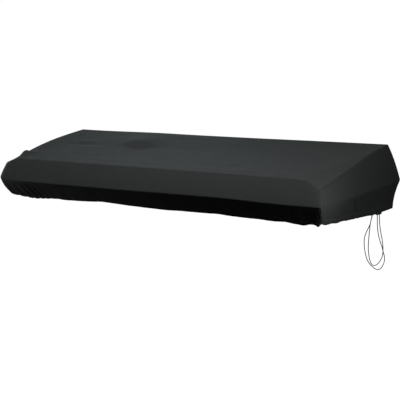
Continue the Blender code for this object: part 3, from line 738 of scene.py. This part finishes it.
def spaced(start, end, usual, crowded):
    """Places that lie a usual step apart, and closer around each crowded place.

    Their density is one over the step plus a bell curve at each crowded place, and each place is
    where the density's running total reaches a whole number.
    """
    fine = np.linspace(start, end, 4001)
    density = np.full_like(fine, 1 / usual)
    for place, step, width in crowded:
        density += (1 / step - 1 / usual) * np.exp(-((fine - place) / width) ** 2)
    total = np.concatenate([[0], np.cumsum((density[1:] + density[:-1]) / 2 * np.diff(fine))])
    return np.interp(np.linspace(0, total[-1], int(total[-1]) + 1), total, fine)


def rolled():
    """Quarter turn of a sewn edge and its allowance: distance from the seam, and depth inside.

    The allowances of two panels meet at the seam's middle, so that no light comes through.
    """
    angle = np.radians((0, 22.5, 45, 67.5, 90))
    away = SEAM_GAP + SEAM_ROLL * (1 - np.sin(angle))
    inset = SEAM_ROLL * (1 - np.cos(angle))
    return np.append(away, [0.0] * len(ALLOWANCE)), np.append(inset, SEAM_ROLL + np.array(ALLOWANCE))


def panel_columns(length, usual, crowded):
    """Shares of a panel's length for its columns, and how deep inside each one lies.

    They are the left allowance, the cloth from seam to seam and the right allowance.
    """
    away, inset = rolled()
    turned = away / length
    crowded = [(place, step / length, width) for place, step, width in crowded]
    cloth = spaced(turned[0], 1 - turned[0], usual / length, crowded)[1:-1]
    share = np.concatenate([turned[::-1], cloth, 1 - turned])[None, :]
    return share, np.concatenate([inset[::-1], 0 * cloth, inset])


def hem_fold():
    """Half turn of a hem and the layer inside it: height over the edge, and depth inside."""
    angle = np.radians(np.linspace(0, 180, 9))
    inner = np.linspace(HEM_ROLL, HEM_DEPTH, 8)[1:]
    height = np.append(HEM_ROLL * (1 - np.sin(angle)), inner)
    closed = ease((inner - HEM_ROLL) / (HEM_DEPTH - HEM_ROLL))
    closing = blend(2 * HEM_ROLL, CLOTH * HEM_CLOSED, closed)
    inset = np.append(HEM_ROLL * (1 - np.cos(angle)), closing)
    return height, inset


def held(height):
    """Share of a pucker's depth: less than half at the hem's own edge, all of it at the stitching."""
    return blend(HEM_HOLD, 1.0, ease(height / HEM_DEPTH))


def gathers(places, down, height, table):
    """Depth of a skirt's listed gathers: bell curves that lean on the way from its edge to the hem."""
    depth = 0.0
    for at_edge, at_hem, half_width, deepest in table:
        middle = blend(at_edge, at_hem, np.clip(down, 0, 1))
        depth = depth + deepest * np.exp(-((places - middle) / half_width) ** 2)
    return depth * ease(down / GATHER_RUN) * held(height)


def puckers(places, height, row, seed):
    """Depth of the drawcord's small puckers: uneven bell curves that die away above the channel."""
    random = np.random.default_rng(seed)
    at, end, spacing, slant = PUCKER_ROWS[row]
    depth = 0.0
    while at < end:
        lean = slant + random.uniform(*PUCKER_RANGES["lean"])
        half_width = spacing * random.uniform(*PUCKER_RANGES["half_width"])
        deepest = random.uniform(*PUCKER_RANGES["depth"])
        top = random.uniform(*PUCKER_RANGES["top"])
        bell = np.exp(-((places - at - lean * height) / half_width) ** 2)
        depth = depth + deepest * bell * held(height) * (1 - ease(height / top))
        at += spacing * random.uniform(*PUCKER_RANGES["step"])
    return depth


def channel(height):
    """How far the hem channel stands out: a half sine up to its stitching, and a dent there."""
    inside = np.clip(height / HEM_DEPTH, 0, 1)
    dent = np.exp(-((height - HEM_DEPTH) / STITCH_DENT_WIDTH) ** 2)
    return HEM_PUFF * np.sin(np.pi * inside) - STITCH_DENT * dent


def between(grid, places, wanted):
    """Rows of a grid at other places along its columns, by straight interpolation."""
    at = np.interp(wanted, places, np.arange(len(places)))
    row = np.minimum(at.astype(int), len(places) - 2)
    column = np.arange(grid.shape[1])
    return blend(grid[row, column], grid[row + 1, column], (at - row)[..., None])


def grid_normals(grid):
    """Unit normals of a panel's grid: the cross product of the steps to each point's neighbours.

    The turned edges take the normal of the cloth beside them.
    """
    cloth = grid[:, len(ALLOWANCE):-len(ALLOWANCE)]
    normals = unit(np.cross(np.gradient(cloth, axis=1), np.gradient(cloth, axis=0)))
    return np.pad(normals, ((0, 0), (len(ALLOWANCE), len(ALLOWANCE)), (0, 0)), mode="edge")


def toward_seam(normals, seam, run, away):
    """Normals that turn to the seam's common ones close to it: run along the seam, away from it."""
    common = placed(seam["normals"], seam["run"], run)
    return unit(blend(common, normals, ease(away / NORMAL_REACH)[..., None]))


def soft_main(share, run):
    """Main panel with rounded creases."""
    return softened(lambda at: main_point(share, at), run, CREASE_REACH)


def seam_table(end):
    """Seam of one end at fine steps around: its line, midway between the panels, and its direction.

    The direction is the mean of the two panels' normals, so that both allowances hang the same way.
    The end panel's normal is found from points a little further in.
    """
    run = np.linspace(AROUND["run"][0], AROUND["run"][-1], SEAM_STEPS)
    share, step = (1.0, -SHARE_STEP) if end == "right" else (0.0, SHARE_STEP)
    own, beside = (soft_main(np.array([at]), run) for at in (share, share + step))
    other = softened(lambda at: end_edge(end, at), run, CREASE_REACH)
    around = unit(np.gradient(own, axis=0))
    own_normals = unit(np.cross((beside - own) / step, around))
    line = np.interp(run, AROUND["run"], AROUND["line"])
    level = np.where(line < 0, -line, np.maximum(line - 1, 0))
    middle = end_point(end, blend(np.clip(line, 0, 1), 0.5, 0.02), blend(level, 1.0, 0.04))
    other_normals = unit(np.cross(around, other - middle)) * (1 if end == "right" else -1)
    both = unit(own_normals + other_normals)
    normals = softened(lambda at: placed(both, run, at), run, NORMAL_REACH)
    return {"run": run, "line": (own + other) / 2, "own": own, "normals": unit(normals)}


seams = {end: seam_table(end) for end in ("right", "left")}


def main_panel():
    """Grid of the whole panel, the cloth's own length and width at each point, and its hem's.

    Columns: the left allowance, the cloth, the right allowance. Rows: the front hem's inner layer
    and fold, the cloth, the back hem's fold and inner layer. Each point is the panel's, its sides
    drawn to the seam lines, moved along its normal by the folds and less the depth of a turned edge.
    """
    share, column_inset = panel_columns(MAIN_LENGTH, COLUMN_STEP, COLUMN_CROWDS)
    fold_height, fold_inset = hem_fold()
    plain_run = spaced(FRONT_HEM_RUN, BACK_HEM_RUN, ROW_STEP, ROW_CROWDS)
    past_fold = 1.3 * HEM_ROLL
    cloth_run = plain_run[(plain_run > FRONT_HEM_RUN + past_fold)
                          & (plain_run < BACK_HEM_RUN - past_fold)]
    run = np.concatenate([(FRONT_HEM_RUN + fold_height)[::-1], cloth_run, BACK_HEM_RUN - fold_height])
    row_inset = np.concatenate([fold_inset[::-1], 0 * cloth_run, fold_inset])[:, None]
    run = run[:, None]

    grid = soft_main(share, plain_run[:, None])
    normals = grid_normals(grid)
    grid, normals = between(grid, plain_run, run), between(normals, plain_run, run)
    for end, away in (("left", share * MAIN_LENGTH), ("right", (1 - share) * MAIN_LENGTH)):
        seam = seams[end]
        pull = placed(seam["line"] - seam["own"], seam["run"], run)
        grid = grid + pull * (1 - ease(away / SEAM_PULL))[..., None]
        normals = toward_seam(normals, seam, run, away)

    x = grid[..., 0]
    line = np.interp(run, AROUND["run"], AROUND["line"])
    height_front, height_back = run - FRONT_HEM_RUN, BACK_HEM_RUN - run
    depth = gathers(x, -line - 1, height_front, FRONT_GATHERS)
    depth = depth + gathers(x, line - 2, height_back, BACK_GATHERS)
    depth = depth + puckers(x, height_front, "front", SEED)
    depth = depth + puckers(x, height_back, "back", SEED + 1)
    puff = channel(height_front) + channel(height_back)
    near_seam = np.minimum(share, 1 - share) * MAIN_LENGTH
    offset = (np.where(row_inset < HEM_ROLL, puff, -puff) - depth) * ease(near_seam / FLAT_REACH)
    offset = offset - np.maximum(row_inset, column_inset)
    cloth = np.stack(np.broadcast_arrays(share * MAIN_LENGTH, run), axis=-1)
    hem = np.stack(np.broadcast_arrays(x, np.minimum(height_front, height_back)), axis=-1)
    return grid + normals * offset[..., None], cloth, hem


def knit_material(name):
    """Black stretch knit: columns of slanted stitches in relief, painted lighter on the stitches and
    darker between them as shade, uneven dye, and the hem's sewing.

    A stitch's height is a sine across the courses whose phase rises to the middle of each wale, so
    that the rows of stitches stand as small Vs, and it falls to nothing between wales. The hem's two
    rows of thread are short dashes where the height over its edge is near that of a row.
    """
    made, shader, start = material(name, KNIT_ROUGHNESS, KNIT_CONSTANTS)
    cloth = start.node("UVMap", {"uv_map": "cloth"})
    across, along = cloth.part("X"), cloth.part("Y")
    side = (across * (1 / WALE)).math("PINGPONG", 0.5) * 2.0
    stitch = ((along * (1 / COURSE) + side) * (2 * np.pi)).math("SINE") * 0.5 + 0.5
    loops = stitch * (side * np.pi).math("SINE")
    streak_place = start.node("Mapping", values={"Vector": cloth, "Scale": (1.0, 14.0, 1.0)})
    place = start.node("TexCoord", output="Object")
    cloudy = start.node("TexNoise", values={"Vector": place, "Scale": 13.0, "Detail": 3.0})
    streaks = start.node("TexNoise", values={"Vector": streak_place, "Scale": 18.0, "Detail": 2.0})
    fuzz = start.node("TexNoise", values={"Vector": place, "Scale": 900.0, "Detail": 2.0})
    # colour: the stitches painted lighter and the gaps between them darker as painted shade, with
    # uneven dye in cloudy patches and streaks, and random fuzz
    dye_and_painted_stitch_shade = loops * 0.34 + cloudy * 0.22 + streaks * 0.16 + fuzz * 0.28
    base = dye_and_painted_stitch_shade.tint(scaled(KNIT_BLACK, 0.72), scaled(KNIT_BLACK, 1.28))
    hem = start.node("UVMap", {"uv_map": "hem"})
    dashes = (hem.part("X") * (1 / THREAD_PITCH)).math("PINGPONG", 0.5).near(0.5, THREAD_DASH)
    height = hem.part("Y")
    first, second = (height.near(HEM_DEPTH + row, THREAD_HALF) for row in THREAD_ROWS)
    thread = (first + second) * dashes
    thread.tint(base, THREAD_BLACK).into(shader, "Base Color")
    rise = loops + fuzz * 0.5 + thread * 3.0
    rise.relief(KNIT_RELIEF).into(shader, "Normal")
    return made


def finish_cloth(panel, node):
    """Give a panel its thickness, its material and its declarations."""
    layer = panel.modifiers.new("layer", "SOLIDIFY")
    layer.thickness = CLOTH
    layer.offset = -1.0
    panel.data.materials.append(knit_material(node + "_knit"))
    stand_for(panel, node)


finish_cloth(surface("main_panel_cloth", *main_panel()), "main_panel")


# Right end panel: a shaped piece of the same knit, sewn to the main panel along the front corner, the
# top edge and the back corner. Its own length of the hem channel lets the drawcord's loops out.
RIGHT_GATHERS = [
    # y at the widest line, y at the hem, half width, depth
    (-0.107, -0.055, 0.0050, 0.0014),
    (-0.078, -0.027, 0.0050, 0.0016),
    (-0.060, -0.010, 0.0050, 0.0010),
    (-0.040, 0.014, 0.0050, 0.0058),
    (-0.010, 0.038, 0.0045, 0.0034),
    (0.034, 0.080, 0.0060, 0.0012),
    (0.060, 0.104, 0.0060, 0.0010),
    (0.120, 0.150, 0.0080, 0.0005),
]
END_WIDTH = 0.42         # from the front corner's seam to the back one
LEVEL_RUN = 0.060        # about how long one level of an end is
KNIT_LEVEL = 0.065       # the same, for the run of the knit
END_COLUMN_STEP = 0.0026
END_COLUMN_CROWDS = [(0.0, 0.0012, 0.03), (1.0, 0.0012, 0.03)]
END_LEVEL_STEP, END_LEVEL_LAST = 0.045, 2.08
END_LEVEL_CROWDS = [
    # level, step, width
    (1.0, 0.022, 0.14),
    (0.0, 0.020, 0.08),
    (1.75, 0.025, 0.10),
]
END_CLOTH_LEVELS = (0.05, 1.98)  # between the top's turned edge and the hem's fold
END_CREASE = {
    # how far the widest line's rounding runs to either side, as a share of a level
    "share": (0.0, 0.20, 0.40, 0.60, 1.0),
    "width": (0.30, 0.22, 0.09, 0.05, 0.05),
}


def soft_end(end, share, level):
    """End panel with its widest line rounded, more so near the front."""
    return softened(lambda at: end_point(end, share, at), level, smooth(END_CREASE, "width", share))


def sewn_end(end, share, level):
    """End panel drawn to the seam line along its front, top and back edges.

    Each edge's own miss is spread into the panel and fades out, and at a corner the two edges'
    weights are joined so that the corner's miss counts once.
    """
    seam = seams[end]
    edges = {
        # the edge's own points, its place on the seam line, and the metres from it
        "top": (soft_end(end, share, np.zeros((1, 1))), share, level * LEVEL_RUN),
        "front": (soft_end(end, np.zeros((1, 1)), level), -level, share * END_WIDTH),
        "back": (soft_end(end, np.ones((1, 1)), level), 1 + level, (1 - share) * END_WIDTH),
    }
    grid = soft_end(end, share, level)
    left_over = 1.0
    for own, line, away in edges.values():
        run = np.interp(line, AROUND["line"], AROUND["run"])
        fade = ease(away / SEAM_PULL)
        miss = placed(seam["line"], seam["run"], run) - own
        grid = grid + miss * ((1 - fade) * left_over)[..., None]
        left_over = left_over * fade
    return grid


def end_panel(end, table, seed):
    """Grid of an end panel, the cloth's own length and width at each point, and its hem's.

    Rows: the hem's inner layer and fold, the cloth up to the top, the top allowance. Columns: the
    front allowance, the cloth, the back allowance.
    """
    share, column_inset = panel_columns(END_WIDTH, END_COLUMN_STEP, END_COLUMN_CROWDS)
    top, widest, lowest = end_lines(end, share)
    upper = np.linalg.norm(widest - top, axis=-1)
    skirt = np.linalg.norm(lowest - widest, axis=-1)
    edge_away, edge_inset = rolled()
    fold_height, fold_inset = hem_fold()
    plain_level = spaced(0.0, END_LEVEL_LAST, END_LEVEL_STEP, END_LEVEL_CROWDS)
    first, last = END_CLOTH_LEVELS
    cloth_level = plain_level[(plain_level > first) & (plain_level < last)][::-1, None] + 0 * share
    fold_level = 2 + (HEM_DROP - fold_height[::-1, None]) / skirt
    level = np.concatenate([fold_level, cloth_level, edge_away[:, None] / upper])
    row_inset = np.concatenate([fold_inset[::-1], 0 * cloth_level[:, 0], edge_inset])[:, None]

    grid = sewn_end(end, share, plain_level[:, None])
    normals = grid_normals(grid) * (-1 if end == "right" else 1)
    grid, normals = between(grid, plain_level, level), between(normals, plain_level, level)
    seam = seams[end]
    distances = (share * END_WIDTH, level * upper, (1 - share) * END_WIDTH)
    for line, away in zip((-level, share + 0 * level, 1 + level), distances):
        run = np.interp(line, AROUND["line"], AROUND["run"])
        normals = toward_seam(normals, seam, run, away)

    height = (2 - level) * skirt + HEM_DROP
    depth = gathers(grid[..., 1], level - 1, height, table)
    depth = depth + puckers(grid[..., 1], height, "end", seed)
    puff = channel(height)
    near_seam = np.minimum(np.minimum(distances[0], distances[2]), distances[1])
    outer = (row_inset < HEM_ROLL) | (level < 1)
    offset = (np.where(outer, puff, -puff) - depth) * ease(near_seam / FLAT_REACH)
    offset = offset - np.maximum(row_inset, column_inset)
    grid = grid + normals * offset[..., None]
    cloth = np.stack([share * END_WIDTH + 0 * level, -level * KNIT_LEVEL], axis=-1)
    hem = np.stack([grid[..., 1], height], axis=-1)
    mirror = -1 if end == "left" else 1
    return grid[:, ::mirror], cloth[:, ::mirror], hem[:, ::mirror]


right = surface("end_panel_right_cloth", *end_panel("right", RIGHT_GATHERS, SEED + 2))
finish_cloth(right, "end_panel_right")


# Left end panel: the same piece, the other hand. Its front corner is rounder, where the cloth is
# pulled over the keyboard's corner and gathered on a slant under it.
LEFT_GATHERS = [
    (-0.130, -0.120, 0.0090, 0.0020),
    (-0.085, -0.077, 0.0085, 0.0022),
    (-0.030, -0.024, 0.0095, 0.0018),
    (0.025, 0.029, 0.0090, 0.0020),
    (0.080, 0.083, 0.0090, 0.0016),
    (0.135, 0.140, 0.0085, 0.0018),
]

left = surface("end_panel_left_cloth", *end_panel("left", LEFT_GATHERS, SEED + 3))
finish_cloth(left, "end_panel_left")


# Studio: a plain pale floor well below the hanging cover, a white surround, and soft lights from above
# in front, at both ends and behind. The low one behind brings out the folds of the top.
FLOOR_HEIGHT = -0.80
FLOOR_HALF = 30.0
FLOOR_WHITE = (0.9, 0.9, 0.9, 1)
SURROUND_LIGHT = 0.01    # strength of the surround on the cover, which the camera sees as white

corners = np.array([[(-1, -1), (1, -1)], [(-1, 1), (1, 1)]]) * FLOOR_HALF
floor = surface("floor", points(corners[..., 0], corners[..., 1], FLOOR_HEIGHT), corners)
paint, _, _ = material("floor_paint", 0.9, {
    "Base Color": FLOOR_WHITE,
    "Emission Color": (1, 1, 1, 1),
    "Emission Strength": 1.0,
})
floor.data.materials.append(paint)
floor.visible_diffuse = False
floor.visible_glossy = False

world = bpy.data.worlds.new("surround")
world.use_nodes = True
bpy.context.scene.world = world
bpy.context.scene.view_settings.view_transform = "Standard"
glow = Wire(world.node_tree).node("LightPath", output="Is Camera Ray") + SURROUND_LIGHT
background = world.node_tree.nodes["Background"]
background.inputs["Color"].default_value = (1, 1, 1, 1)
glow.into(background, "Strength")

WHITE = (1.0, 1.0, 1.0)
LIGHTS = {
    # place, what it points at, width and height in metres, watts, colour
    "upper_left": ((-1.0, -0.2, 0.9), (-0.35, 0.0, 0.0), (0.8, 0.8), 3.3, (0.85, 1.0, 0.98)),
    "front_left": ((0.0, -0.8, 0.80), (0.0, -0.1, -0.05), (0.6, 0.3), 6.3, (1.0, 0.98, 1.0)),
    "front_right": ((0.45, -0.8, 0.80), (0.35, -0.1, -0.05), (0.6, 0.3), 9.2, (0.95, 1.0, 0.99)),
    "low_behind": ((-1.0, 1.1, 0.40), (-0.1, 0.0, 0.0), (0.7, 0.15), 3.7, (0.86, 1.0, 1.0)),
    "near_corner": ((1.0, -0.29, 0.0), (0.52, -0.15, -0.09), (0.15, 0.15), 1.05, (0.95, 1.0, 0.95)),
    "right_side": ((1.1, 0.05, 0.22), (0.52, 0.05, -0.07), (0.2, 0.2), 0.7, WHITE),
    "by_right_corner": ((0.66, -0.22, -0.08), (0.52, -0.18, -0.11), (0.06, 0.06), 0.15, WHITE),
    "low_left": ((-0.95, -0.75, -0.40), (-0.45, -0.18, -0.11), (0.3, 0.3), 1.3, WHITE),
    "by_left_corner": ((-0.90, -0.38, -0.25), (-0.47, -0.18, -0.12), (0.12, 0.12), 0.2, WHITE),
    "behind": ((-0.3, 1.8, -0.30), (0.0, 0.2, -0.07), (1.0, 0.3), 8.0, (0.95, 1.0, 1.0)),
    "left_end": ((-1.8, 0.25, 0.0), (-0.52, 0.0, -0.07), (0.5, 0.3), 5.0, (0.95, 1.0, 1.0)),
}
for name, (place, aim, size, watts, colour) in LIGHTS.items():
    data = bpy.data.lights.new(name, "AREA")
    data.shape = "RECTANGLE"
    data.size, data.size_y = size
    data.energy = watts
    data.color = colour
    lamp = bpy.data.objects.new(name, data)
    lamp.location = place
    lamp.visible_camera = False
    lamp.rotation_euler = (Vector(place) - Vector(aim)).to_track_quat("Z", "Y").to_euler()
    bpy.context.scene.collection.objects.link(lamp)
